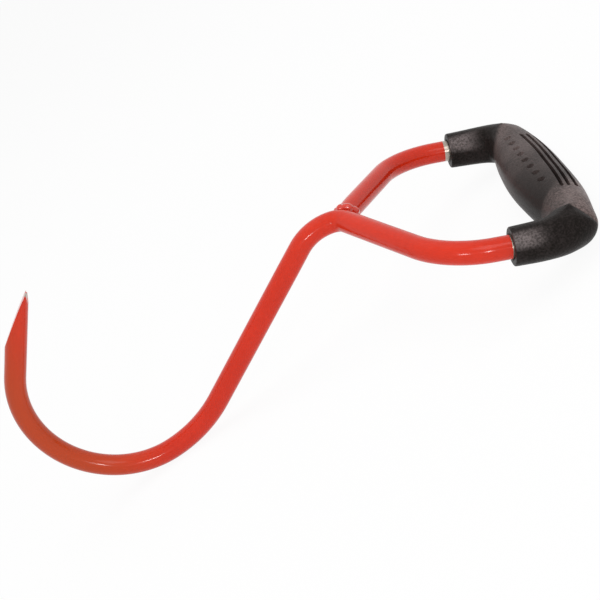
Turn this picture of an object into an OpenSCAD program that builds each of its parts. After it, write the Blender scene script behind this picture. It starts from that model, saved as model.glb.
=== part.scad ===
// Hand hook for packs and bales: a round steel bar bent to a sharpened hook, forked into two arms,
// with a moulded D grip over the arm ends.
// The hook is drawn with X along the grip's middle line, Y up and Z across the grip, and its fork at the
// origin. lying_down() then turns it to the way it rests on a table: on its bow and on the palm bar.

/* [Bar] */
// Thickness of the round steel bar
bar_d = 10; // [8:0.5:12]

/* [Hook] */
// Bending radius of the bow, to the middle of the bar
bow_r = 45; // [38:1:52]
// Angle that the bow turns through
bow_turn = 132; // [115:1:145]
// Radius of the gentler bend between shank and bow
ease_r = 68; // [60:1:90]
// Angle that the gentler bend turns through
ease_turn = 28; // [16:1:34]
// Straight shank, from the corner of the crank to the gentler bend
shank_len = 94; // [70:1:120]
// Straight stretch between the bow and the very point
point_len = 43; // [36:1:60]
// Length of the long bevel that makes the point
bevel_len = 27; // [18:1:34]
// Width of the blunt nose that the bevel leaves
nose_w = 1.6; // [1:0.1:3]

/* [Fork] */
// Angle that the crank turns through between shank and neck
crank_turn = 42; // [30:1:50]
// Radius of the crank's bend, to the middle of the bar
crank_r = 24; // [14:1:24]
// Slope of the neck between crank and fork to the grip's middle line
neck_rise = 12; // [4:1:16]
// Length of the neck, from the corner of the crank to the corner of the fork
neck_len = 14.5; // [14.5:0.5:24]
// Angle of each arm to the grip's middle line
fork_turn = 59.5; // [50:0.5:64]
// Radius of the bend from neck to near arm, to the middle of the bar
fork_r = 8.5; // [7:0.5:8.5]
// Distance between the two arms where they enter the grip
arm_gap = 122; // [105:1:140]
// Bending radius of the arms, to the middle of the bar
arm_bend_r = 34; // [24:1:38]

/* [Weld] */
// Thickness of the weld bead
bead_d = 4.4; // [3.4:0.2:5]
// Number of ripples in the bead
ripples = 16; // [12:1:20]

/* [Grip] */
// Distance from the fork to the mouths of the sleeves
mouth_x = 62; // [60:1:80]
// Outer diameter of a sleeve at its mouth
sleeve_d = 16.4; // [15:0.2:20]
// Length of a sleeve before it starts to round over
sleeve_len = 14; // [8:0.5:18]
// Depth of the rounding at the outer end of a sleeve
elbow_len = 21; // [16:0.5:30]
// Depth to which a bar end goes into its sleeve
socket_depth = 24; // [18:0.5:26]
// Gap around a bar in its sleeve
socket_gap = 0.1; // [0.05:0.05:0.3]
// Distance from the mouths to the middle of the palm bar
palm_out = 28.2; // [26:0.2:34]
// Depth of the palm bar at its middle
palm_depth = 28; // [24:0.2:32]
// Height of the palm bar at its middle
palm_height = 20.8; // [19:0.2:26]
// Height at which the palm bar sits above the middle of the sleeves
palm_up = 1.2; // [0:0.1:2]
// Depth of the palm bar near the sleeves
palm_end_depth = 19.4; // [18:0.2:24]
// Height of the palm bar near the sleeves
palm_end_height = 18.4; // [16:0.2:20]
// How far the front of the palm bar curves back towards its ends
palm_bow = 4.8; // [3:0.2:5]
// How far the palm bar's crest rises to the ridge where it meets a sleeve
ridge_rise = 0.9; // [0:0.1:1.5]
// Length over which the crest rises to that ridge
ridge_run = 14; // [8:1:20]
// Size of the fillet in the inner corner between sleeve and palm bar
corner_fill = 7; // [3:0.5:9]

/* [Crest slots] */
// Number of slots along the crest
slot_count = 3; // [1:1:3]
// Width of a slot
slot_w = 1.9; // [1.4:0.1:2.2]
// Distance from the middle of the palm bar to the first slot
slot_first = 5; // [4:0.1:5]
// Distance from one slot to the next
slot_pitch = 3; // [2.8:0.1:3.4]
// Length of the slots
slot_len = 62.5; // [50:0.5:70]
// How far the slots sit towards the far arm
slot_shift = 4.8; // [0:0.1:6]
// Depth of the slots
slot_deep = 3; // [2:0.5:6]

/* [Retaining grooves] */
// Number of grooves turned in each hidden bar end
groove_count = 3; // [1:1:4]
// Width of a groove
groove_w = 2; // [1:0.5:3]
// Depth of a groove
groove_deep = 0.8; // [0.4:0.1:1.2]

/* [Hidden] */
$fn = 64;
steel_red = [0.82, 0.16, 0.1];
weld_red = [0.76, 0.2, 0.13];
plastic_black = [0.13, 0.12, 0.12];

bar_r = bar_d / 2;
sleeve_r = sleeve_d / 2;
arm_z = arm_gap / 2;
// The neck and the near arm are in no common upright plane: the angle between them, and the roll of its plane
fork_bend = acos(cos(neck_rise) * cos(fork_turn));
fork_roll = acos(-tan(neck_rise) / tan(fork_bend));
crank_tangent = crank_r * tan(crank_turn / 2);
fork_tangent = fork_r * tan(fork_bend / 2);
arm_tangent = arm_bend_r * tan(fork_turn / 2);
arm_run = arm_z / sin(fork_turn) - fork_tangent - arm_tangent;
arm_corner_x = arm_z / tan(fork_turn);
arm_end_x = mouth_x + socket_depth;
arm_last = arm_end_x - arm_corner_x - arm_tangent;
palm_x = mouth_x + palm_out;
// How far a straight laps into a bend, how much thicker the bend is, and the straight between two bends
lap = 0.1;
bend_swell = 0.03;
between = 0.6;
// Gap between the two bars at the fork, where the weld runs in
weld_gap = 0.05;

// Places along the hook, in the plane of the hook: a point and a heading, moved on by straights and bends
function ahead(p, way, run) = p + run * [cos(way), sin(way)];
function side_of(p, way, out) = p + out * [-sin(way), cos(way)];
neck_way = 180 + neck_rise;
shank_way = neck_way + crank_turn;
ease_way = shank_way - ease_turn;
point_way = ease_way - bow_turn;
crank_corner = ahead([0, 0], neck_way, neck_len);
ease_start = ahead(crank_corner, shank_way, shank_len);
ease_mid = side_of(ease_start, shank_way, -ease_r);
bow_start = ahead(side_of(ease_mid, ease_way, ease_r), ease_way, between);
bow_mid = side_of(bow_start, ease_way, -bow_r);

// The slope at which the hook lies: the line that touches both the bow and the palm bar from below
function palm_reach(slope) = norm([palm_depth / 2 * sin(slope), palm_height / 2 * cos(slope)]);
slope_guess = 24;
function slope_for(mid, r, n) = n == 0 ? slope_guess : let (
    away = [palm_x, palm_up] - mid,
    last = slope_for(mid, r, n - 1)
) atan2(away[1], away[0]) + asin((r + bar_r - palm_reach(last)) / norm(away));
bow_slope = slope_for(bow_mid, bow_r, 8);
ease_slope = slope_for(ease_mid, ease_r, 8);
slope = bow_slope <= ease_way - 180 ? bow_slope : ease_slope;
rest_height = palm_reach(slope) + [palm_x, palm_up] * [sin(slope), -cos(slope)];
front_reach = norm([palm_depth / 2 * cos(slope), palm_height / 2 * sin(slope)]);
front_x = [palm_x, palm_up] * [cos(slope), sin(slope)] + front_reach;
back_x = (bow_mid * [cos(slope), sin(slope)]) - bow_r - bar_r;

module lying_down() {
    translate([-(front_x + back_x) / 2, 0, rest_height]) rotate([90, 0, 0]) rotate([0, 0, -slope]) children();
}

// A straight bar that starts at the origin and runs along X, and laps into the bends at its ends
module straight_bar(run, lap_in = lap, lap_out = lap) {
    translate([-lap_in, 0, 0]) rotate([0, 90, 0]) cylinder(h = run + lap_in + lap_out, r = bar_r);
}

// A bend in the XY plane that starts at the origin along X and turns left, a hair thicker than the straights
module bend(r, turn) {
    translate([0, r, 0]) rotate([0, 0, -90]) rotate_extrude(angle = turn) translate([r, 0])
        circle(r = bar_r + bend_swell);
}

// Moves what follows to the end of a bend to the left, or to the right
module after_bend(r, turn) {
    translate([r * sin(turn), r * (1 - cos(turn)), 0]) rotate([0, 0, turn]) children();
}

module after_right_bend(r, turn) {
    mirror([0, 1, 0]) after_bend(r, turn) mirror([0, 1, 0]) children();
}

module right_bend(r, turn) {
    mirror([0, 1, 0]) bend(r, turn);
}

// Cuts that leave a long slanting face on the outside of the bar and a blunt nose on its inside
nose_lean = 12;
nose_back = 3 * nose_w;
module bevel_cuts() {
    lean = atan((bar_d - nose_w) / bevel_len);
    translate([point_len - bevel_len, bar_r, 0]) rotate([0, 0, -lean]) translate([0, 0, -bar_d])
        cube([bevel_len * 2, bar_d * 2, bar_d * 2]);
    translate([point_len - nose_back, -bar_r, 0]) rotate([0, 0, nose_lean]) translate([0, -bar_d, -bar_d])
        cube([bar_d, bar_d, bar_d * 2]);
}

function groove_at(i) = arm_last - i * 2 * groove_w - groove_w / 2;

// The bar end inside a sleeve, with the grooves that hold it there
module grooved_bar(run) {
    difference() {
        straight_bar(run, lap, 0);
        for (i = [1 : groove_count])
            translate([groove_at(i), 0, 0]) rotate([0, 90, 0]) difference() {
                cylinder(h = groove_w, r = bar_r + 1);
                translate([0, 0, -1]) cylinder(h = groove_w + 2, r = bar_r - groove_deep);
            }
    }
}

// One arm in the XZ plane from the end of the fork's bend to the inside of its sleeve
module arm_rest() {
    straight_bar(arm_run);
    translate([arm_run, 0, 0]) {
        right_bend(arm_bend_r, fork_turn);
        after_right_bend(arm_bend_r, fork_turn) grooved_bar(arm_last);
    }
}

// Stands a shape that is drawn in the XY plane into the XZ plane, with its Y along Z
module across() {
    rotate([90, 0, 0]) mirror([0, 0, 1]) children();
}

// Stands a shape that is drawn along X into the fork's corner, in the plane of the neck and the near arm
module along_neck() {
    rotate([0, 0, neck_rise]) rotate([fork_roll, 0, 0]) children();
}

// Places a shape that is drawn along X along the near arm, from the fork's corner on
module along_arm() {
    across() rotate([0, 0, fork_turn]) children();
}

module hook_steel() {
    // the neck between crank and fork, the fork's bend and the near arm
    along_neck() translate([-fork_tangent, 0, 0]) bend(fork_r, fork_bend);
    along_arm() translate([fork_tangent, 0, 0]) arm_rest();
    rotate([0, 0, neck_way]) translate([fork_tangent, 0, 0]) {
        straight_bar(neck_len - crank_tangent - fork_tangent);
        translate([neck_len - crank_tangent - fork_tangent, 0, 0]) {
            bend(crank_r, crank_turn);
            after_bend(crank_r, crank_turn) shank_and_bow();
        }
    }
}

// The straight shank, the two bends of the bow and the point
module shank_and_bow() {
    straight_bar(shank_len - crank_tangent);
    translate([shank_len - crank_tangent, 0, 0]) {
        right_bend(ease_r, ease_turn);
        after_right_bend(ease_r, ease_turn) {
            straight_bar(between);
            translate([between, 0, 0]) {
                right_bend(bow_r, bow_turn);
                after_right_bend(bow_r, bow_turn) difference() {
                    straight_bar(point_len, lap, 0);
                    bevel_cuts();
                }
            }
        }
    }
}

// The bar round the fork, as the second bar and the weld see it
module fork_shape(gap) {
    r = bar_r + gap;
    rotate([0, 0, neck_way]) translate([fork_tangent - lap, 0, 0]) rotate([0, 90, 0])
        cylinder(h = 2 * bar_d, r = r);
    along_neck() translate([-fork_tangent, fork_r, 0]) rotate([0, 0, -90]) rotate_extrude(angle = fork_bend)
        translate([fork_r, 0]) circle(r = r + bend_swell);
    along_arm() translate([fork_tangent - lap, 0, 0]) rotate([0, 90, 0]) cylinder(h = 2 * bar_d, r = r);
}

// The far arm's bar, from inside the fork to its sleeve, before it is cut to sit against the first bar
module far_bar() {
    mirror([0, 0, 1]) along_arm() {
        straight_bar(fork_tangent, 0, 0);
        translate([fork_tangent, 0, 0]) arm_rest();
    }
}

// The weld's run along the far arm: between the arms, above and below the fork, and behind it
run_between = 5;
run_above = 1.8;
run_behind = 3;
// How much deeper the weld lies behind the fork than between the arms
sunk_behind = 1.2;
function seam_place(turn) = let (
    side_run = cos(turn) > 0 ? run_between : run_behind,
    run = run_above + (side_run - run_above) * pow(cos(turn), 2),
    out = bar_r - sunk_behind * (1 - cos(turn)) / 2,
    flat = run * [cos(fork_turn), -sin(fork_turn)] + out * cos(turn) * [sin(fork_turn), cos(fork_turn)]
) [flat[0], out * sin(turn), flat[1]];

// The palm bar's section at a distance across the grip: middle along X, half depth and half height
palm_span = arm_z - sleeve_r;
// The palm bar starts to round over this far before the sleeves, and ends this far inside their outer sides
round_before = 8;
round_inside = 3;
palm_turn = palm_span - round_before;
palm_tip = arm_z + sleeve_r - round_inside;
// How squarely the palm bar's ends round over, seen from above and from behind, and how the sleeves do
plan_square = 2.3;
roof_power = 0.5;
elbow_power = 0.5;
// The back of the palm bar curves in by what its front leaves of the change in depth
palm_hollow = palm_depth - palm_bow - palm_end_depth;
function palm_past(z) = max(0, abs(z) - palm_turn) / (palm_tip - palm_turn);
function palm_run(z) = min(1, abs(z) / palm_span);
function palm_swell(z) = (1 + cos(180 * palm_run(z))) / 2;
function palm_fill(z) = pow(min(1, max(0, abs(z) - palm_span + corner_fill) / (2 * corner_fill)), 2);
// The crest's rise to the ridge, and how the palm bar's end falls away past it
function ridge_at(z) = ridge_rise * pow(min(1, max(0, abs(z) - palm_span + ridge_run) / ridge_run), 2);
function roof_at(z) = pow(1 - max(0, abs(z) - palm_span) / (palm_tip - palm_span), roof_power);
function palm_size(z) = let (
    end_round = 1 - pow(palm_past(z), 2),
    plan = pow(1 - pow(palm_past(z), plan_square), 1 / plan_square),
    back = (palm_depth / 2 - palm_hollow * (1 - palm_swell(z))) * plan + 2 * corner_fill * palm_fill(z) * end_round,
    front = (palm_depth / 2 - palm_bow * pow(palm_run(z), 2)) * plan
) [
    palm_x + (front - back) / 2,
    (front + back) / 2,
    (palm_end_height / 2 + (palm_height - palm_end_height) / 2 * palm_swell(z) + ridge_at(z)) * roof_at(z)
];
grip_sides = 40;
span_steps = 18;
end_steps = 8;
end_close = 0.999 * (palm_tip - palm_span);
// A ring lies on each ridge, and the rings draw together where the palm bar's ends close
end_places = [for (i = [1 : end_steps]) palm_span + end_close * sin(90 * i / end_steps)];
palm_places = concat(
    [for (i = [1 : end_steps]) -end_places[end_steps - i]],
    [for (i = [-span_steps : span_steps]) palm_span * i / span_steps],
    end_places
);
grip_turns = [for (k = [0 : grip_sides - 1]) 360 * k / grip_sides];

// A closed form through rings of points that turn to the left round the way from ring to ring
module loft(rings) {
    sides = len(rings[0]);
    last = (len(rings) - 1) * sides;
    walls = [
        for (i = [0 : len(rings) - 2]) for (k = [0 : sides - 1]) let (
            a = i * sides + k,
            b = i * sides + (k + 1) % sides
        ) each [[a, a + sides, b + sides], [a, b + sides, b]]
    ];
    caps = [for (k = [1 : sides - 2]) each [[0, k, k + 1], [last + k + 1, last + k, last]]];
    polyhedron(points = [for (ring = rings) each ring], faces = concat(walls, caps));
}

module palm_bar() {
    loft([for (z = palm_places) let (size = palm_size(z)) [
        for (turn = grip_turns) [size[0] + size[1] * cos(turn), palm_up + size[2] * sin(turn), z]
    ]]);
}

// A sleeve's rings: how far each lies from the mouth, its half width, and how open it still is, from 1 to 0
sleeve_steps = 10;
mouth_lip = 0.6;
sleeve_close = 0.999;
sleeve_all = sleeve_len + elbow_len;
sleeve_rings = concat(
    [[0, sleeve_r - mouth_lip, 1], [mouth_lip, sleeve_r, 1], [sleeve_len, sleeve_r, 1]],
    [for (i = [1 : sleeve_steps]) let (
        past = sleeve_close * sin(90 * i / sleeve_steps),
        open = pow(1 - past * past, elbow_power)
    ) [sleeve_len + elbow_len * past, sleeve_r * open, open]]
);

// One sleeve from its mouth along X, which grows and rises to the palm bar's height as it rounds over
module sleeve() {
    loft([for (ring = sleeve_rings) let (
        share = ring[0] / sleeve_all,
        half_height = ring[1] + (palm_end_height / 2 - sleeve_r) * share * ring[2]
    ) [
        for (turn = grip_turns) [mouth_x + ring[0], palm_up * share + half_height * cos(turn), ring[1] * sin(turn)]
    ]]);
}

// The hollow that a grooved bar end fills, with the rings of plastic that stand in the grooves
module socket() {
    translate([arm_corner_x + arm_tangent, 0, 0]) rotate([0, 90, 0]) difference() {
        cylinder(h = arm_last + socket_gap, r = bar_r + socket_gap);
        for (i = [1 : groove_count])
            translate([0, 0, groove_at(i) + socket_gap]) difference() {
                cylinder(h = groove_w - 2 * socket_gap, r = bar_r + 2);
                translate([0, 0, -1]) cylinder(h = groove_w + 2, r = bar_r - groove_deep + socket_gap);
            }
    }
}

// The long slots, cut from above along the crest, side by side with the curve of the palm bar's front
module crest_slots() {
    bow_radius = pow(palm_span, 2) / (2 * palm_bow);
    half_turn = (slot_len - slot_w) / bow_radius * 90 / PI;
    for (i = [0 : slot_count - 1]) {
        out = slot_first + i * slot_pitch;
        floor_y = palm_height / 2 * sqrt(1 - pow(out / (palm_depth / 2), 2)) - slot_deep;
        translate([palm_x + out - bow_radius, palm_up + floor_y, -slot_shift]) rotate([-90, 0, 0])
            rotate([0, 0, -half_turn]) {
                rotate_extrude(angle = 2 * half_turn) translate([bow_radius - slot_w / 2, 0])
                    square([slot_w, palm_height]);
                for (turn = [0, 2 * half_turn]) rotate([0, 0, turn]) translate([bow_radius, 0, 0])
                    cylinder(h = palm_height, d = slot_w);
            }
    }
}

module hook_bar() {
    color(steel_red) lying_down() hook_steel();
}

module side_arm() {
    color(steel_red) lying_down() difference() {
        far_bar();
        fork_shape(weld_gap);
    }
}

module fork_weld() {
    color(weld_red) lying_down() difference() {
        for (i = [0 : ripples - 1]) translate(seam_place(360 * (i + 0.5) / ripples)) sphere(d = bead_d);
        fork_shape(weld_gap);
        mirror([0, 0, 1]) along_arm() rotate([0, 90, 0]) cylinder(h = 2 * bar_d, r = bar_r + weld_gap);
    }
}

module hand_grip() {
    color(plastic_black) lying_down() difference() {
        union() {
            palm_bar();
            for (side = [-1, 1]) translate([0, 0, side * arm_z]) sleeve();
        }
        for (side = [-1, 1]) translate([0, 0, side * arm_z]) socket();
        crest_slots();
    }
}

hook_bar();
side_arm();
fork_weld();
hand_grip();
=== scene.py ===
import math
import bpy
import numpy as np
from mathutils import Matrix, Vector


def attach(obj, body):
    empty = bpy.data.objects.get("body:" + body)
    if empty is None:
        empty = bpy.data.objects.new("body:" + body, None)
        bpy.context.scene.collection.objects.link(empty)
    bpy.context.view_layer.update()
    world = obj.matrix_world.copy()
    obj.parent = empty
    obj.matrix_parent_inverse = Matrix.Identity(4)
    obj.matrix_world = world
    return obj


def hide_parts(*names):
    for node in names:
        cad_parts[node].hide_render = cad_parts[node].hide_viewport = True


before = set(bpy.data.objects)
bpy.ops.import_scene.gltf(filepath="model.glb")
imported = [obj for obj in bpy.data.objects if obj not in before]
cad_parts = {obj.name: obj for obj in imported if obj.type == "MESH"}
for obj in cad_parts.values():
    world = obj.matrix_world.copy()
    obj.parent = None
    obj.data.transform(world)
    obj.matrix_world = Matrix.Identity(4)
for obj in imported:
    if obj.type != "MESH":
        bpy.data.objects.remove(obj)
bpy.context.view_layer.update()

# the hook is worked out in millimetres with X along the grip's middle line, Y up and Z across the
# grip, and its fork at the origin; resting turns it onto its bow and palm bar and makes it metres
resting = {"slope": 27.058, "along": 42.713, "up": 51.203}


def onTable(points):
    # x cos + y sin + along, minus z, and y cos - x sin + up
    turn = math.radians(resting["slope"])
    x, y, z = points[..., 0], points[..., 1], points[..., 2]
    placed = [x * math.cos(turn) + y * math.sin(turn) + resting["along"], -z,
              y * math.cos(turn) - x * math.sin(turn) + resting["up"]]
    return np.stack(placed, axis=-1) / 1000


def gripWay():
    # the grip's middle line as it lies on the table
    turn = math.radians(resting["slope"])
    return np.array([math.cos(turn), 0, -math.sin(turn)])


def upWay():
    # square to the grip's middle line, upwards
    turn = math.radians(resting["slope"])
    return np.array([math.sin(turn), 0, math.cos(turn)])


def unit(vector):
    # a vector, or each of an array of them, over its length
    vector = np.asarray(vector, float)
    return vector / np.linalg.norm(vector, axis=-1, keepdims=True)


def gridMesh(name, rings, isLoop=False):
    # rings is an array (ring, point, xyz); neighbouring rings are joined by quads that face
    # outwards; a loop's last ring joins its first, and else a fan round its middle closes each end
    ringCount, sideCount = rings.shape[:2]
    corners = rings.reshape(-1, 3)
    spans = ringCount if isLoop else ringCount - 1
    ring, side = np.meshgrid(np.arange(spans), np.arange(sideCount), indexing="ij")
    here, ahead = ring * sideCount, (ring + 1) % ringCount * sideCount
    after = (side + 1) % sideCount
    quads = np.stack([here + side, here + after, ahead + after, ahead + side], axis=-1)
    faces = quads.reshape(-1, 4).tolist()
    if not isLoop:
        total = len(corners)
        corners = np.vstack([corners, rings[0].mean(0), rings[-1].mean(0)])
        side = np.arange(sideCount)
        after = (side + 1) % sideCount
        last = (ringCount - 1) * sideCount
        faces += np.stack([np.full(sideCount, total), after, side], axis=-1).tolist()
        faces += np.stack([np.full(sideCount, total + 1), last + side, last + after],
                          axis=-1).tolist()
    mesh = bpy.data.meshes.new(name)
    mesh.from_pydata(onTable(corners).tolist(), [], faces)
    mesh.validate()
    mesh.shade_smooth()
    piece = bpy.data.objects.new(name, mesh)
    bpy.context.scene.collection.objects.link(piece)
    return piece


def sharpen(piece, degrees):
    # edges that turn more than this stay crisp
    bpy.context.view_layer.objects.active = piece
    piece.select_set(True)
    bpy.ops.object.shade_smooth_by_angle(angle=math.radians(degrees), keep_sharp_edges=True)
    piece.select_set(False)


# camera: at the photograph's place, with a 72 mm lens
view = {"place": (-33.976, 203.511, 492.225), "right": (0.98290, -0.15645, 0.09707),
        "down": (-0.18311, -0.88575, 0.42652), "ahead": (0.01925, -0.43701, -0.89925),
        "lens": 72.0, "sensor": 36, "nearest": 0.01}


def addCamera():
    camera = bpy.data.cameras.new("viewCamera")
    camera.lens = view["lens"]
    camera.sensor_width = view["sensor"]
    camera.clip_start = view["nearest"]
    origin = onTable(np.zeros(3))
    right, down, ahead = [unit(onTable(np.array(view[side])) - origin)
                          for side in ("right", "down", "ahead")]
    place = onTable(np.array(view["place"]))
    facing = Matrix((right, -down, -ahead)).transposed()
    holder = bpy.data.objects.new("viewCamera", camera)
    holder.matrix_world = Matrix.Translation(Vector(place)) @ facing.to_4x4()
    bpy.context.scene.collection.objects.link(holder)
    bpy.context.scene.camera = holder


addCamera()
print("camera placed")


# bar: the round steel bar and its bends, in millimetres and degrees
bar = {"radius": 5.0, "bowRadius": 45, "bowTurn": 132, "easeRadius": 68, "easeTurn": 28,
       "between": 0.6, "shank": 94, "point": 42.2,
       "crankTurn": 42, "crankRadius": 24, "neckRise": 12, "neck": 14.5,
       "forkTurn": 59.5, "forkRadius": 8.5, "armBend": 34, "armGap": 122,
       "mouth": 62, "hidden": 20, "farAhead": 0.9,
       # the point's bevel, how much it bows, and the nose that it leaves
       "bevel": 27, "bevelBow": 0.88, "bevelLead": 3, "bevelRings": 90,
       "nose": 1.6, "noseRun": 4.8, "noseLean": 12, "noseRound": 0.5, "noseLeast": 0.02,
       # how much the bending flattens and widens the bar at the crank, and how far along
       "crankFlat": 0.03, "crankWide": 0.02, "crankReach": 13,
       "sides": 96, "step": 0.9, "straightSteps": 2, "bendSteps": 8, "crisp": 35}


def walk(start, heading, moves):
    # follows straights (length,) and bends (radius, turn in degrees, side), with points a step
    # apart; a bend's point is middle - radius side cos a + radius heading sin a
    place, heading = np.array(start, float), unit(heading)
    runs = [place[None]]
    for move in moves:
        if len(move) == 1:
            count = max(bar["straightSteps"], int(move[0] / bar["step"]) + 1)
            t = np.linspace(0, 1, count)[1:, None]
            run = place + t * move[0] * heading
        else:
            radius, turn, side = move[0], math.radians(move[1]), unit(move[2])
            middle = place + radius * side
            count = max(bar["bendSteps"], int(radius * turn / bar["step"]) + 1)
            a = np.linspace(0, turn, count)[1:, None]
            run = middle - radius * side * np.cos(a) + radius * heading * np.sin(a)
            heading = heading * math.cos(turn) + side * math.sin(turn)
        runs.append(run)
        place = run[-1]
    return np.vstack(runs)


def carry(points, firstSide):
    # carries a side vector along a path, turning it no more than the path turns: at each point
    # what it has along the path is taken off; gives the path's way, the sides and the ups
    ahead = unit(np.gradient(points, axis=0))
    sides = np.zeros_like(points)
    side = np.array(firstSide, float)
    for i, way in enumerate(ahead):
        side = side - way * (side @ way)
        side = side / np.linalg.norm(side)
        sides[i] = side
    return ahead, sides, np.cross(ahead, sides)


def runLength(points):
    # the length of the path up to each point
    return np.concatenate([[0], np.cumsum(np.linalg.norm(np.diff(points, axis=0), axis=1))])


def ringsRound(points, high, sides, broad, ups):
    # each ring is its point + high side + broad up
    return points[:, None] + high[..., None] * sides[:, None] + broad[..., None] * ups[:, None]


def fullTurn(count):
    return np.linspace(0, 2 * math.pi, count, endpoint=False)


def turned(degrees):
    # a way in the hook's plane, turned up from the grip's middle line
    a = math.radians(degrees)
    return np.array([math.cos(a), math.sin(a), 0.0])


def armWay(degrees):
    # a way in the fork's plane, turned from the grip's middle line towards the near arm
    a = math.radians(degrees)
    return np.array([math.cos(a), 0, math.sin(a)])


def leftOf(way):
    return np.array([-way[1], way[0], 0.0])


def tangent(radius, turn):
    # how far a bend starts before its corner: radius tan(turn / 2)
    return radius * math.tan(math.radians(turn / 2))


neckWay = turned(180 + bar["neckRise"])
nearWay = armWay(bar["forkTurn"])
forkBend = math.degrees(math.acos(float(-neckWay @ nearWay)))
forkTangent = tangent(bar["forkRadius"], forkBend)
crankTangent = tangent(bar["crankRadius"], bar["crankTurn"])
armTangent = tangent(bar["armBend"], bar["forkTurn"])
armZ = bar["armGap"] / 2
armCorner = armZ / math.tan(math.radians(bar["forkTurn"]))
armRun = armZ / math.sin(math.radians(bar["forkTurn"])) - forkTangent - armTangent
armLast = bar["mouth"] + bar["hidden"] - armCorner - armTangent
# the far arm starts a little farther out, so it opens a little wider
farTurn = math.degrees(math.atan2(armZ, armCorner - bar["farAhead"]))
farWay = armWay(-farTurn)
farInward = np.array([-farWay[2], 0, farWay[0]])
farCorner = np.array([bar["farAhead"], 0.0, 0.0])
farTangent = tangent(bar["armBend"], farTurn)
farRun = armZ / math.sin(math.radians(farTurn)) - farTangent
farLast = bar["mouth"] + bar["hidden"] - armCorner - farTangent


def makeHookBar():
    # from inside the near sleeve back to the fork, round the crank and the bow and out to the point
    shankWay = turned(180 + bar["neckRise"] + bar["crankTurn"])
    easeWay = turned(180 + bar["neckRise"] + bar["crankTurn"] - bar["easeTurn"])
    forkSide = unit(neckWay - (neckWay @ -nearWay) * -nearWay)
    points = walk((bar["mouth"] + bar["hidden"], 0, armZ), (-1, 0, 0), [
        (armLast,), (bar["armBend"], bar["forkTurn"], (0, 0, -1)), (armRun,),
        (bar["forkRadius"], forkBend, forkSide), (bar["neck"] - forkTangent - crankTangent,),
        (bar["crankRadius"], bar["crankTurn"], leftOf(neckWay)), (bar["shank"] - crankTangent,),
        (bar["easeRadius"], bar["easeTurn"], -leftOf(shankWay)), (bar["between"],),
        (bar["bowRadius"], bar["bowTurn"], -leftOf(easeWay)), (bar["point"],)])
    run = runLength(points)
    total = run[-1]
    # finer rings along the bevel
    cut = total - bar["bevel"] - bar["bevelLead"]
    fine = np.linspace(cut, total, bar["bevelRings"])
    tail = np.stack([np.interp(fine, run, points[:, i]) for i in range(3)], axis=1)
    points = np.vstack([points[run < cut], tail])
    ahead, sides, ups = carry(points, (0, 1, 0))
    run = runLength(points)
    left = total - run
    # the carried sides are turned by one angle all along, so that past the fork u points away
    # from the bow's middle
    out = np.cross(np.array([0, 0, 1.0]), ahead[-1])
    lean = math.atan2(float(out @ ups[-1]), float(out @ sides[-1]))
    u = sides * math.cos(lean) + ups * math.sin(lean)
    w = np.cross(ahead, u)
    # the bar is pressed a little flat round the crank, fading as exp(-(distance / reach)^2)
    crankAt = armLast + math.radians(bar["forkTurn"]) * bar["armBend"] + armRun \
        + math.radians(forkBend) * bar["forkRadius"] \
        + math.radians(bar["crankTurn"]) * bar["crankRadius"] / 2
    press = np.exp(-((run - crankAt) / bar["crankReach"]) ** 2)[:, None]
    angle = fullTurn(bar["sides"])
    high = bar["radius"] * (1 - bar["crankFlat"] * press) * np.cos(angle)
    broad = bar["radius"] * (1 + bar["crankWide"] * press) * np.sin(angle)
    # the bevel takes all that lies outside a slightly bowed line, the nose a little on the inside
    line = bar["nose"] - bar["radius"] \
        + (left / bar["bevel"]) ** bar["bevelBow"] * (2 * bar["radius"] - bar["nose"])
    under = -bar["radius"] \
        + np.maximum(bar["noseRun"] - left, 0) * math.tan(math.radians(bar["noseLean"]))
    high = np.clip(high, under[:, None], line[:, None])
    # the very tip is rounded over by a quarter circle in its last half millimetre
    depth = 1 - np.clip(left / bar["noseRound"], 0, 1)
    shrink = np.sqrt(np.clip(1 - depth ** 2, bar["noseLeast"], 1))[:, None]
    middle = (high.max(1) + high.min(1))[:, None] / 2
    tip = (left < bar["noseRound"])[:, None]
    high = np.where(tip, middle + (high - middle) * shrink, high)
    broad = np.where(tip, broad * shrink, broad)
    tipPlace = points[-1] - out * (bar["radius"] - bar["nose"] / 2)
    return gridMesh("hookBarPaint", ringsRound(points, high, u, broad, w)), tipPlace


hookPiece, hookTip = makeHookBar()
sharpen(hookPiece, bar["crisp"])
print("hook bar bent and bevelled")


# arm: the far arm's bar, a little ground down where it is welded on
arm = {"start": 1.5, "ground": 0.8, "groundRun": 14, "groundFade": 1.5, "groundSide": -45}


def makeSideArm():
    # straight out from the fork, one bend and into the far sleeve; what is ground off fades as
    # (1 - run / groundRun)^groundFade, on the side away from the other arm and above
    points = walk(farCorner + farWay * arm["start"], farWay, [
        (farRun - arm["start"],), (bar["armBend"], farTurn, farInward), (farLast,)])
    sides, ups = carry(points, (0, 1, 0))[1:]
    fade = np.clip(1 - runLength(points) / arm["groundRun"], 0, 1) ** arm["groundFade"]
    angle = fullTurn(bar["sides"])
    away = np.clip(np.cos(angle - math.radians(arm["groundSide"])), 0, 1)
    radius = bar["radius"] - (arm["ground"] * fade)[:, None] * away
    rings = ringsRound(points, radius * np.cos(angle), sides, radius * np.sin(angle), ups)
    return gridMesh("sideArmPaint", rings)


armPiece = makeSideArm()
print("side arm bent")


# weld: a bead round the far arm's foot
weld = {"between": 5.4, "above": 2.6, "behind": 3.2, "sunk": 2.0, "radius": 1.8,
        "ripples": 9, "depth": 0.15, "lean": 0.35, "uneven": 0.25, "unevenTurns": 3,
        "around": 240, "sides": 24}


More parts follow.
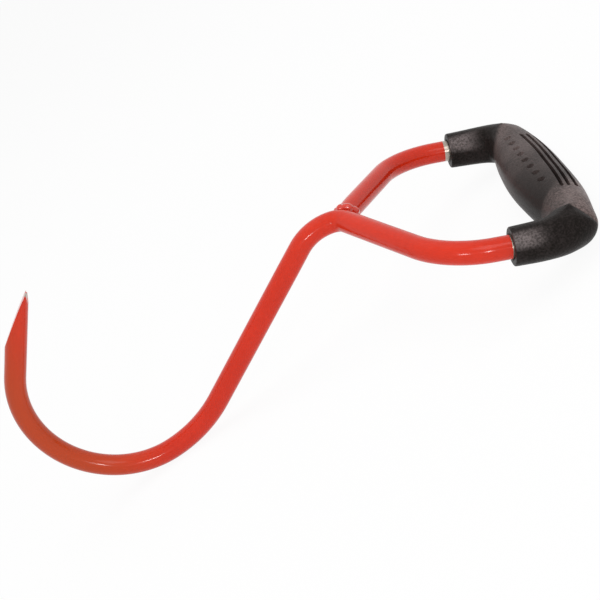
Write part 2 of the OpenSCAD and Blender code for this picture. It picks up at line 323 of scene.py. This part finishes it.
def makeWeld():
    # the bead's middle line is a saddle: its place along the arm goes from above to between or
    # behind as cos^2 of the turn round the arm
    turn = fullTurn(weld["around"])
    side = np.where(np.cos(turn) > 0, weld["between"], weld["behind"])
    run = weld["above"] + (side - weld["above"]) * np.cos(turn) ** 2
    out = bar["radius"] - weld["sunk"] * (1 - np.cos(turn)) / 2
    spoke = np.cos(turn)[:, None] * farInward + np.sin(turn)[:, None] * np.array([0, 1.0, 0])
    middle = farCorner + run[:, None] * farWay + out[:, None] * spoke
    ahead = unit(np.roll(middle, -1, axis=0) - np.roll(middle, 1, axis=0))
    outward = unit(spoke - ahead * (spoke * ahead).sum(1, keepdims=True))
    up = np.cross(ahead, outward)
    # each ripple is a scallop |sin| that leans back over the one before
    wave = turn * weld["ripples"]
    ripple = np.abs(np.sin(wave / 2 + weld["uneven"] * np.sin(turn * weld["unevenTurns"])))
    radius = (weld["radius"] * (1 - weld["depth"] + 2 * weld["depth"] * ripple))[:, None]
    angle = fullTurn(weld["sides"])
    lean = weld["lean"] * np.cos(wave)[:, None] * np.cos(angle)
    rings = ringsRound(middle, radius * np.cos(angle), outward, radius * np.sin(angle), up)
    return gridMesh("forkWeldBead", rings + lean[..., None] * ahead[:, None], isLoop=True)


weldPiece = makeWeld()
print("weld bead laid")


# grip: half of the moulding as stations from the mouth of a sleeve to the middle of the palm bar;
# each has the inner edge (x, z), the outer edge (x, z), where the crest lies between them, the top,
# the bottom, how square the section is on the inner and on the outer side of its crest, and how
# much of its height slopes off there; the far half has the near one's times far
grip = {
    "stations": [
        (62.0, 52.8, 62.0, 69.1, 0.50, 8.0, -8.2, 2.0, 2.0, 0.00, 0.00),
        (70.0, 52.5, 70.0, 69.1, 0.50, 8.3, -8.4, 2.0, 2.0, 0.00, 0.00),
        (75.0, 52.2, 77.0, 68.5, 0.50, 8.7, -8.5, 2.0, 2.05, 0.00, 0.00),
        (77.2, 52.0, 86.2, 66.3, 0.49, 9.4, -8.6, 2.2, 2.2, 0.04, 0.05),
        (78.4, 51.7, 93.4, 62.4, 0.48, 10.2, -8.7, 2.6, 2.6, 0.14, 0.25),
        (79.4, 51.0, 98.1, 58.4, 0.46, 11.1, -8.8, 3.6, 3.6, 0.36, 0.75),
        (80.1, 49.8, 99.6, 52.8, 0.47, 10.9, -8.9, 3.0, 2.8, 0.20, 0.40),
        (80.5, 47.3, 100.2, 47.8, 0.48, 10.7, -8.9, 2.5, 2.5, 0.08, 0.14),
        (80.0, 41.0, 101.2, 41.5, 0.50, 10.6, -8.9, 2.2, 2.35, 0.00, 0.00),
        (78.3, 28.0, 103.0, 28.0, 0.50, 10.8, -9.0, 2.1, 2.25, 0.00, 0.00),
        (76.9, 12.0, 103.9, 12.0, 0.50, 11.1, -9.2, 2.05, 2.1, 0.00, 0.00),
        (76.5, 0.0, 104.0, 0.0, 0.50, 11.2, -9.2, 2.05, 2.1, 0.00, 0.00),
    ],
    "far": (1, -1, 1, -1, 1, 1.02, 1, 1, 1, 0.8, 0.5),
    "ridge": 5, "underIn": 2.6, "underOut": 1.9, "sides": 216, "step": 0.5, "fewestRings": 10,
    "crisp": 15,
    "lip": 0.6, "lipRings": 6, "bore": 5.06, "boreDeep": 5.0,
    # each slot's distance out from the crest, and its first and last column of the section
    "slots": ((3.0, 43, 50), (5.9, 31, 38), (9.2, 18, 25)),
    "slotFrom": -36.0, "slotTo": 34.0, "slotMiddle": -6.0, "slotBow": 0.0014, "slotWidth": 1.4,
    "slotDeep": 2.4, "slotWall": 0.1, "slotNarrow": 0.1, "slotLead": (-12, -1),
    "dimples": 8, "dimpleOut": -4.6, "dimpleWidth": 3.4, "dimpleDeep": 1.2,
    "dimpleFrom": -35.0, "dimpleTo": 22.0,
}


def softStep(value, low, high):
    # 0 below low, 1 above high, 3t^2 - 2t^3 between
    t = np.clip((value - low) / (high - low), 0, 1)
    return t * t * (3 - 2 * t)


def smoothRows(rows, at):
    # a natural cubic spline through a table's rows, at row positions that need not be whole
    count = len(rows)
    system = np.eye(count) * 4 + np.eye(count, k=1) + np.eye(count, k=-1)
    system[0, :2] = (2, 1)
    system[-1, -2:] = (1, 2)
    steps = np.zeros_like(rows)
    steps[1:-1] = 3 * (rows[2:] - rows[:-2])
    steps[0] = 3 * (rows[1] - rows[0])
    steps[-1] = 3 * (rows[-1] - rows[-2])
    slope = np.linalg.solve(system, steps)
    k = np.clip(at.astype(int), 0, count - 2)
    t = (at - k)[:, None]
    a, b, da, db = rows[k], rows[k + 1], slope[k], slope[k + 1]
    return a * (1 + 2 * t) * (1 - t) ** 2 + b * t * t * (3 - 2 * t) \
        + da * t * (1 - t) ** 2 - db * t * t * (1 - t)


def gripRows():
    # the outline runs on smoothly past the ridges, where the section breaks
    near = np.array(grip["stations"])
    whole = np.vstack([near, near[-2::-1] * np.array(grip["far"])])
    last = len(whole) - 1
    lengths = np.linalg.norm(np.diff(whole[:, 2:4], axis=0), axis=1)
    counts = np.maximum(grip["fewestRings"], np.round(lengths / grip["step"])).astype(int)
    at = np.concatenate([k + np.arange(count) / count for k, count in enumerate(counts)] + [[last]])
    row = smoothRows(whole, at)
    breaks = (0, grip["ridge"], last - grip["ridge"], last)
    for low, high in zip(breaks[:-1], breaks[1:]):
        part = (at >= low) & (at <= high)
        row[part, 4:] = smoothRows(whole[low:high + 1, 4:], at[part] - low)
    return row


def slotColumns(angle, power, reach, z):
    # slides some columns onto the walls of the slots, with the columns between spread evenly; a
    # column lies at reach |cos|^power from the crest, so its angle is the arccosine of
    # (out / reach)^(1 / power); a slot bows inwards with the square of the way from its middle
    past = np.maximum(z - grip["slotTo"], grip["slotFrom"] - z)
    width = grip["slotWidth"] / 2
    rounded = 1 - np.clip(1 + past / width, 0, 1) ** 2
    narrow = width * np.sqrt(np.clip(rounded, grip["slotNarrow"], 1))
    near = softStep(-past, *grip["slotLead"])
    bow = grip["slotBow"] * (z - grip["slotMiddle"]) ** 2
    knots, angles, floor = [0], [np.zeros_like(z)], np.zeros(len(angle))
    wall = grip["slotWall"]
    for out, first, last in reversed(grip["slots"]):
        for column, line in ((first, narrow + wall), (first + 1, narrow - wall),
                             (last - 1, wall - narrow), (last, -narrow - wall)):
            away = np.clip((out - bow + line) / reach, 0, 1)
            wanted = np.arccos(away ** (1 / power))
            knots.append(column)
            angles.append(angle[column] * (1 - near) + wanted * near)
        floor[first + 1:last] = 1
    middle = len(angle) // 2
    knots += [middle, len(angle) - 1]
    angles += [np.full_like(z, math.pi / 2), np.full_like(z, math.pi)]
    columns = np.arange(len(angle))
    hats = np.array([np.interp(columns, knots, line) for line in np.eye(len(knots))])
    cut = (past < 0)[:, None] * floor[None, :]
    return np.stack(angles, axis=1) @ hats, cut


def dimpleDepth(out, z):
    # a row of shallow round bowls, deep 1 - (r / R)^2
    radius = grip["dimpleWidth"] / 2
    depth = np.zeros_like(out)
    for place in np.linspace(grip["dimpleFrom"], grip["dimpleTo"], grip["dimples"]):
        share = ((out - grip["dimpleOut"]) ** 2 + (z[:, None] - place) ** 2) / radius ** 2
        depth += grip["dimpleDeep"] * np.clip(1 - share, 0, 1)
    return depth


def gripRings():
    row = gripRows()
    inner, outer = row[:, 0:2], row[:, 2:4]
    crest = inner + (outer - inner) * row[:, 4:5]
    middle, rise = (row[:, 5:6] + row[:, 6:7]) / 2, (row[:, 5:6] - row[:, 6:7]) / 2
    z = (inner[:, 1] + outer[:, 1]) / 2
    half = grip["sides"] // 2
    # over the top: a quarter of a superellipse on either side of the crest
    angle = np.linspace(0, math.pi, half + 1)
    reachOut = np.linalg.norm(outer - crest, axis=1)
    reachIn = np.linalg.norm(crest - inner, axis=1)
    angles, cut = slotColumns(angle, 2 / row[:, 8], reachOut, z)
    outside = angles <= math.pi / 2
    power = np.where(outside, 2 / row[:, 8:9], 2 / row[:, 7:8])
    across = np.abs(np.cos(angles)) ** power
    out = np.where(outside, reachOut[:, None], -reachIn[:, None]) * across
    slope = 1 - np.where(outside, row[:, 10:11], row[:, 9:10]) * across
    y = middle + rise * slope * np.abs(np.sin(angles)) ** power
    y -= cut * grip["slotDeep"] + dimpleDepth(out, z)
    way = np.where(outside[..., None], unit(outer - crest)[:, None], unit(crest - inner)[:, None])
    flat = crest[:, None] + out[..., None] * way
    top = np.stack([flat[..., 0], y, flat[..., 1]], axis=-1)
    # under it: half of a plain superellipse from the inner edge back to the outer edge
    angle = np.linspace(math.pi, 2 * math.pi, half + 1)[1:-1]
    power = np.where(np.cos(angle) < 0, 2 / grip["underIn"], 2 / grip["underOut"])
    across = np.sign(np.cos(angle)) * np.abs(np.cos(angle)) ** power
    flat = ((inner + outer) / 2)[:, None] + ((outer - inner) / 2)[:, None] * across[None, :, None]
    y = middle - rise * np.abs(np.sin(angle)) ** power
    under = np.stack([flat[..., 0], y, flat[..., 1]], axis=-1)
    return np.concatenate([top, under], axis=1)


def mouthRings(ring, centre):
    # from the floor of the bore out over the flat mouth and its lip, rounded by a quarter circle
    across = (ring - centre) * np.array([0, 1.0, 1.0])
    reach = np.linalg.norm(across, axis=1, keepdims=True)
    across = across / reach
    lip, bore, ahead = grip["lip"], grip["bore"], np.array([1.0, 0, 0])
    rings = [centre + across * radius + ahead * deep
             for radius, deep in ((bore, grip["boreDeep"]), (bore, lip), (bore + lip, 0))]
    for a in np.radians(np.linspace(0, 90, grip["lipRings"])):
        rings.append(centre + across * (reach - lip * (1 - math.sin(a)))
                     + ahead * lip * (1 - math.cos(a)))
    return np.array(rings)


def makeGrip():
    rings = gripRings()
    near = mouthRings(rings[0], np.array([bar["mouth"], 0, armZ]))
    far = mouthRings(rings[-1], np.array([bar["mouth"], 0, -armZ]))
    # the loft's own rings start just behind the lip
    skip = int(grip["lip"] / grip["step"]) + 1
    rings = np.concatenate([near, rings[skip:-skip], far[::-1]])
    # a section runs from outside over the top, so the rings go from far to near to face outwards
    return gridMesh("handGripMoulding", rings[::-1])


gripPiece = makeGrip()
sharpen(gripPiece, grip["crisp"])
print("grip moulded")


class Socket:
    # wraps a node's output so that shader maths reads as plain sums
    def __init__(self, tree, link):
        self.tree = tree
        self.link = link

    def node(self, kind, values=None, output=0, **settings):
        made = self.tree.nodes.new(kind)
        for key, value in settings.items():
            setattr(made, key, value)
        for key, value in (values or {}).items():
            self.feed(made.inputs[key], value)
        return Socket(self.tree, made.outputs[output])

    def feed(self, socket, value):
        if isinstance(value, Socket):
            self.tree.links.new(value.link, socket)
        else:
            socket.default_value = value

    def maths(self, operation, other=0.0, flip=False):
        pair = (other, self) if flip else (self, other)
        return self.node("ShaderNodeMath", {0: pair[0], 1: pair[1]}, operation=operation)

    def __add__(self, other):
        return self.maths("ADD", other)

    __radd__ = __add__

    def __sub__(self, other):
        return self.maths("SUBTRACT", other)

    def __rsub__(self, other):
        return self.maths("SUBTRACT", other, flip=True)

    def __mul__(self, other):
        return self.maths("MULTIPLY", other)

    __rmul__ = __mul__

    def above(self, low, high):
        # 0 below low, 1 above high, smooth between
        return self.node("ShaderNodeMapRange", {0: self, 1: low, 2: high, 3: 0.0, 4: 1.0},
                         interpolation_type="SMOOTHSTEP")

    def noise(self, scale, detail=3.0, roughness=0.5):
        return self.node("ShaderNodeTexNoise", {"Vector": self, "Scale": scale, "Detail": detail,
                                                "Roughness": roughness})

    def along(self, way, start):
        # the distance along a way from a start
        dot = self.node("ShaderNodeVectorMath", {0: self, 1: tuple(way)}, output=1,
                        operation="DOT_PRODUCT")
        return dot - start

    def awayFrom(self, place):
        return self.node("ShaderNodeVectorMath", {0: self, 1: tuple(place)}, output=1,
                         operation="DISTANCE")

    def mixed(self, first, second):
        return self.node("ShaderNodeMix", {0: self, 6: first, 7: second}, output=2,
                         data_type="RGBA")

    def bump(self, strength, height, shader):
        made = self.node("ShaderNodeBump", {"Strength": strength, "Distance": height,
                                            "Height": self})
        self.feed(shader.inputs["Normal"], made)


def newMaterial(name):
    # a material with its shader and its object coordinates
    material = bpy.data.materials.new(name)
    material.use_nodes = True
    shader = material.node_tree.nodes["Principled BSDF"]
    where = material.node_tree.nodes.new("ShaderNodeTexCoord")
    return material, shader, Socket(material.node_tree, where.outputs["Object"])


def dress(piece, material):
    piece.data.materials.clear()
    piece.data.materials.append(material)


# paint: glossy red over steel, bare at the very tip and beside the sleeves; places are in metres,
# noise scales per metre
paint = {"red": (0.66, 0.030, 0.009, 1), "deep": (0.58, 0.024, 0.006, 1),
         "orangeRed": (0.48, 0.052, 0.010, 1), "steel": (0.40, 0.35, 0.30, 1),
         "roughness": 0.14, "steelRougher": 0.12, "patchRougher": 0.05, "specular": 0.22,
         "coat": 0.10, "weldCoat": 1.0, "coatRoughness": 0.08,
         # broad patches of the deeper red, with finer ones in them
         "broadPatches": 18, "broadShare": 0.6, "finePatches": 420, "patchEdge": (0.35, 0.65),
         # each bare band starts at its millimetres along the grip, the weld's beyond its end;
         # its edge is soft and chipped, and no chip lies farther out than bandReach
         "hookBand": 61.5, "armBand": 59.7, "weldBand": 70.0, "bandSoft": 0.001,
         "bandReach": 0.002, "chips": 300, "chipped": 0.8, "chipEdge": (0.35, 0.65),
         "bareEdge": (0.1, 0.9),
         # where along the table the red turns darker and more orange towards the bow's far side and
         # the point
         "orangeFrom": -0.085, "orangeTo": -0.130,
         # how far the bare tip reaches, and how ragged its edge is
         "tipBare": 0.0018, "tipPainted": 0.0036, "tipRagged": 0.0015,
         # press marks from the bending lie round the crank
         "marksAhead": 4, "marksFull": 0.012, "marksNone": 0.034, "marks": 300, "marksDeep": 0.8,
         "waves": 70, "relief": 0.0005, "reliefStrength": 0.3}


def makePaint(name, coat, bandStart, tip=None):
    material, shader, where = newMaterial(name)
    fine = where.noise(paint["finePatches"], 4, 0.6)
    broad = where.noise(paint["broadPatches"], 2) * paint["broadShare"]
    patches = (broad + fine * (1 - paint["broadShare"])).above(*paint["patchEdge"])
    colour = patches.mixed(paint["deep"], paint["red"])
    # the red turns darker and more orange towards the bow's far side and the point
    redShare = where.along((1, 0, 0), 0.0).above(paint["orangeTo"], paint["orangeFrom"])
    colour = redShare.mixed(paint["orangeRed"], colour)
    # the band's soft edge, with noise about nothing added to chip it
    start = float(onTable(np.array([bandStart, 0, 0])) @ gripWay()) - paint["bandSoft"] / 2
    band = where.along(gripWay(), start)
    bare = band.above(0.0, paint["bandSoft"]) + where.noise(paint["chips"], 3) * paint["chipped"]
    bare = (bare - paint["chipped"] / 2).above(*paint["chipEdge"])
    bare = bare * band.above(-paint["bandReach"], paint["bandSoft"])
    if tip is not None:
        apart = where.awayFrom(onTable(tip)) + fine * paint["tipRagged"]
        bare = bare + 1 - apart.above(paint["tipBare"], paint["tipPainted"])
    bare = bare.above(*paint["bareEdge"])
    shader.inputs["Coat Weight"].default_value = coat
    shader.inputs["Coat Roughness"].default_value = paint["coatRoughness"]
    shader.inputs["Specular IOR Level"].default_value = paint["specular"]
    where.feed(shader.inputs["Base Color"], bare.mixed(colour, paint["steel"]))
    where.feed(shader.inputs["Metallic"], bare)
    where.feed(shader.inputs["Roughness"],
               bare * paint["steelRougher"] + paint["roughness"] + fine * paint["patchRougher"])
    crank = where.awayFrom(onTable(neckWay * (bar["neck"] + paint["marksAhead"])))
    marks = 1 - crank.above(paint["marksFull"], paint["marksNone"])
    marks = marks * where.noise(paint["marks"], 2)
    relief = where.noise(paint["waves"], 1) + marks * paint["marksDeep"]
    relief.bump(paint["reliefStrength"], paint["relief"], shader)
    return material


# moulding: matte black plastic, dark on the sleeves but for a band of painted sheen, and greyer on
# the palm bar past each ridge from painted light; places are metres along the grip (out) and across
# it from its middle (aside)
moulding = {"dark": (0.009, 0.007, 0.006, 1), "sheen": (0.024, 0.019, 0.018, 1),
            "palm": (0.010, 0.007, 0.006, 1), "paintedLight": (0.200, 0.150, 0.142, 1),
            "paintedSheen": (0.200, 0.168, 0.165, 1), "roughness": 0.30, "grainRougher": 0.1,
            "specular": 0.055, "grain": 1100, "fineGrain": 2200, "fineShare": 0.5,
            "relief": 0.0003, "reliefStrength": 0.4,
            # the mottle is patches with grain in them; each tone takes a share of it
            "mottle": 60, "mottleShare": 0.35, "mottleEdge": (0.40, 0.60),
            "palmMottle": 0.9, "palmPlain": 0.5, "sheenMottle": 0.6,
            # where the palm bar's painted light gives way to the dark sleeves, and how softly
            "nearSoft": 0.0003, "farOut": 0.0823, "farAside": 0.0434, "farSlope": 2,
            "farSoft": 0.004,
            # the palm bar's painted light: less towards the near side, more towards the outer edge
            "palmLight": 0.46, "lightLess": 0.42, "lightAside": (-0.050, 0.036),
            "lightMore": 0.10, "lightLow": 0.04, "lightOut": (0.0765, 0.0915),
            # the patch of painted light at the palm bar's near end starts on the line out + aside =
            # endSum, crisply near the inner edge and softly near the outer one
            "endSum": 0.121, "endCrisp": (-0.0016, 0.0016), "endSoft": (-0.006, 0.010),
            "endTurn": (0.083, 0.090), "endLight": 0.20, "endMore": 0.50,
            "endOut": (0.079, 0.097),
            # the band of painted sheen on each sleeve: its way across and up, its edge and its
            # fading
            "sheenAcross": 0.77, "sheenUp": 0.64, "sheenEdge": (0.0066, 0.0084),
            "sheenFade": (0.066, 0.079), "sideSoft": 0.001}


def makeMoulding():
    material, shader, where = newMaterial("gripMoulding")
    origin = onTable(np.zeros(3))
    out = where.along(gripWay(), float(origin @ gripWay()))
    up = where.along(upWay(), float(origin @ upWay()))
    across = where.along((0, -1, 0), 0.0)
    # the near ridge runs from its station's inner edge to its outer edge
    xIn, zIn, xOut, zOut = np.array(grip["stations"][grip["ridge"]][:4]) / 1000
    nearLine = across - zIn - (out - xIn) * ((zOut - zIn) / (xOut - xIn))
    farLine = across * -1 - moulding["farAside"] \
        - (out - moulding["farOut"]) * moulding["farSlope"]
    # past either ridge the sleeves stay dark; on the palm bar painted light takes over
    sleeve = nearLine.above(-moulding["nearSoft"], moulding["nearSoft"]).maths(
        "MAXIMUM", farLine.above(-moulding["farSoft"], moulding["farSoft"]))
    grain = where.noise(moulding["grain"], 3, 0.6)
    mottle = where.noise(moulding["mottle"], 4, 0.6) * moulding["mottleShare"]
    mottle = (mottle + grain * (1 - moulding["mottleShare"])).above(*moulding["mottleEdge"])
    # painted light and shade: the palm bar darkens towards its near side, and is palest in a patch
    # at its near end
    shade = moulding["palmLight"] - across.above(*moulding["lightAside"]) * moulding["lightLess"]
    shade = shade + out.above(*moulding["lightOut"]) * moulding["lightMore"] - moulding["lightLow"]
    reach = across + out - moulding["endSum"]
    nearEnd = out.above(*moulding["endTurn"]).mixed(reach.above(*moulding["endCrisp"]),
                                                    reach.above(*moulding["endSoft"]))
    shade = shade + nearEnd * (out.above(*moulding["endOut"]) * moulding["endMore"]
                               + moulding["endLight"])
    shade = (shade * (mottle * moulding["palmMottle"] + moulding["palmPlain"])).maths(
        "MAXIMUM", 0.0)
    palm = shade.mixed(moulding["palm"], moulding["paintedLight"])
    # each sleeve has a painted sheen along its upper front, fading towards the elbow; axis is the
    # near sleeve's own on the near side and the far sleeve's on the far side
    nearSide = across.above(-moulding["sideSoft"], moulding["sideSoft"])
    axis = nearSide * (2 * armZ / 1000) - armZ / 1000
    paintedSheen = (across - axis) * moulding["sheenAcross"] + up * moulding["sheenUp"]
    paintedSheen = paintedSheen.above(*moulding["sheenEdge"]) * (1 - out.above(*moulding["sheenFade"]))
    paintedSheen = paintedSheen * (mottle * moulding["sheenMottle"] + 1 - moulding["sheenMottle"])
    dark = paintedSheen.mixed(mottle.mixed(moulding["dark"], moulding["sheen"]), moulding["paintedSheen"])
    where.feed(shader.inputs["Base Color"], sleeve.mixed(palm, dark))
    where.feed(shader.inputs["Roughness"],
               grain * moulding["grainRougher"] + moulding["roughness"])
    shader.inputs["Specular IOR Level"].default_value = moulding["specular"]
    relief = grain + where.noise(moulding["fineGrain"], 2) * moulding["fineShare"]
    relief.bump(moulding["reliefStrength"], moulding["relief"], shader)
    return material


dress(hookPiece, makePaint("hookPaint", paint["coat"], paint["hookBand"], hookTip))
dress(armPiece, makePaint("armPaint", paint["coat"], paint["armBand"]))
dress(weldPiece, makePaint("weldPaint", paint["weldCoat"], paint["weldBand"]))
dress(gripPiece, makeMoulding())
print("materials mixed")

for piece, node, slot in ((hookPiece, "hook_bar", "red_paint"),
                          (armPiece, "side_arm", "red_paint"),
                          (weldPiece, "fork_weld", "painted_weld"),
                          (gripPiece, "hand_grip", "grip_moulding")):
    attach(piece, "root")
    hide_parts(node)


# studio: a pale floor and soft lamps, each with its place and size in metres, its power and
# whether it glints
studio = {"floor": (0.9, 0.9, 0.9, 1), "floorSize": 6.0, "floorRoughness": 0.9,
          "floorSeen": 0.93, "world": 0.38,
          "lamps": [("highLamp", (0.50, -0.52, 0.72), (0.50, 0.40), 1.2, True),
                    ("topLamp", (0.05, 0.20, 1.15), (1.0, 1.0), 7.5, False),
                    ("frontLamp", (0.25, -0.94, 0.29), (0.16, 0.09), 1.6, True),
                    ("leftLamp", (-0.22, -0.89, 0.44), (0.16, 0.09), 1.6, True)],
          "target": (0.0, 0.0, 0.05)}


def seenWhite(tree, shader, white, share, output):
    # the camera sees this share of plain white and the rest of the shader, and reflections see
    # all white
    white.inputs["Color"].default_value = (1, 1, 1, 1)
    white.inputs["Strength"].default_value = 1
    rays = tree.nodes.new("ShaderNodeLightPath")
    seen, glossy, through = [Socket(tree, rays.outputs["Is " + kind + " Ray"])
                             for kind in ("Camera", "Glossy", "Transmission")]
    blend = tree.nodes.new("ShaderNodeMixShader")
    seen.feed(blend.inputs[0], (seen * share + glossy + through).maths("MINIMUM", 1.0))
    tree.links.new(shader.outputs[0], blend.inputs[1])
    tree.links.new(white.outputs[0], blend.inputs[2])
    tree.links.new(blend.outputs[0], tree.nodes[output].inputs["Surface"])


def makeFloor():
    size = studio["floorSize"]
    mesh = bpy.data.meshes.new("paleFloor")
    mesh.from_pydata([(-size, -size, 0), (size, -size, 0), (size, size, 0), (-size, size, 0)],
                     [], [(0, 1, 2, 3)])
    floor = bpy.data.objects.new("paleFloor", mesh)
    bpy.context.scene.collection.objects.link(floor)
    material, shader = newMaterial("paleFloor")[:2]
    shader.inputs["Base Color"].default_value = studio["floor"]
    shader.inputs["Roughness"].default_value = studio["floorRoughness"]
    tree = material.node_tree
    seenWhite(tree, shader, tree.nodes.new("ShaderNodeEmission"), studio["floorSeen"],
              "Material Output")
    dress(floor, material)


def makeLight():
    world = bpy.data.worlds.new("studioWorld")
    world.use_nodes = True
    tree = world.node_tree
    light = tree.nodes["Background"]
    light.inputs["Color"].default_value = (1, 1, 1, 1)
    light.inputs["Strength"].default_value = studio["world"]
    seenWhite(tree, light, tree.nodes.new("ShaderNodeBackground"), 1.0, "World Output")
    bpy.context.scene.world = world
    for name, place, size, power, glints in studio["lamps"]:
        lamp = bpy.data.lights.new(name, "AREA")
        lamp.shape = "RECTANGLE"
        lamp.size, lamp.size_y = size
        lamp.energy = power
        holder = bpy.data.objects.new(name, lamp)
        holder.location = place
        holder.visible_glossy = glints
        aim = Vector(studio["target"]) - Vector(place)
        holder.rotation_euler = aim.to_track_quat("-Z", "Y").to_euler()
        bpy.context.scene.collection.objects.link(holder)


makeFloor()
makeLight()
bpy.context.scene.view_settings.view_transform = "Standard"
print("studio lit")
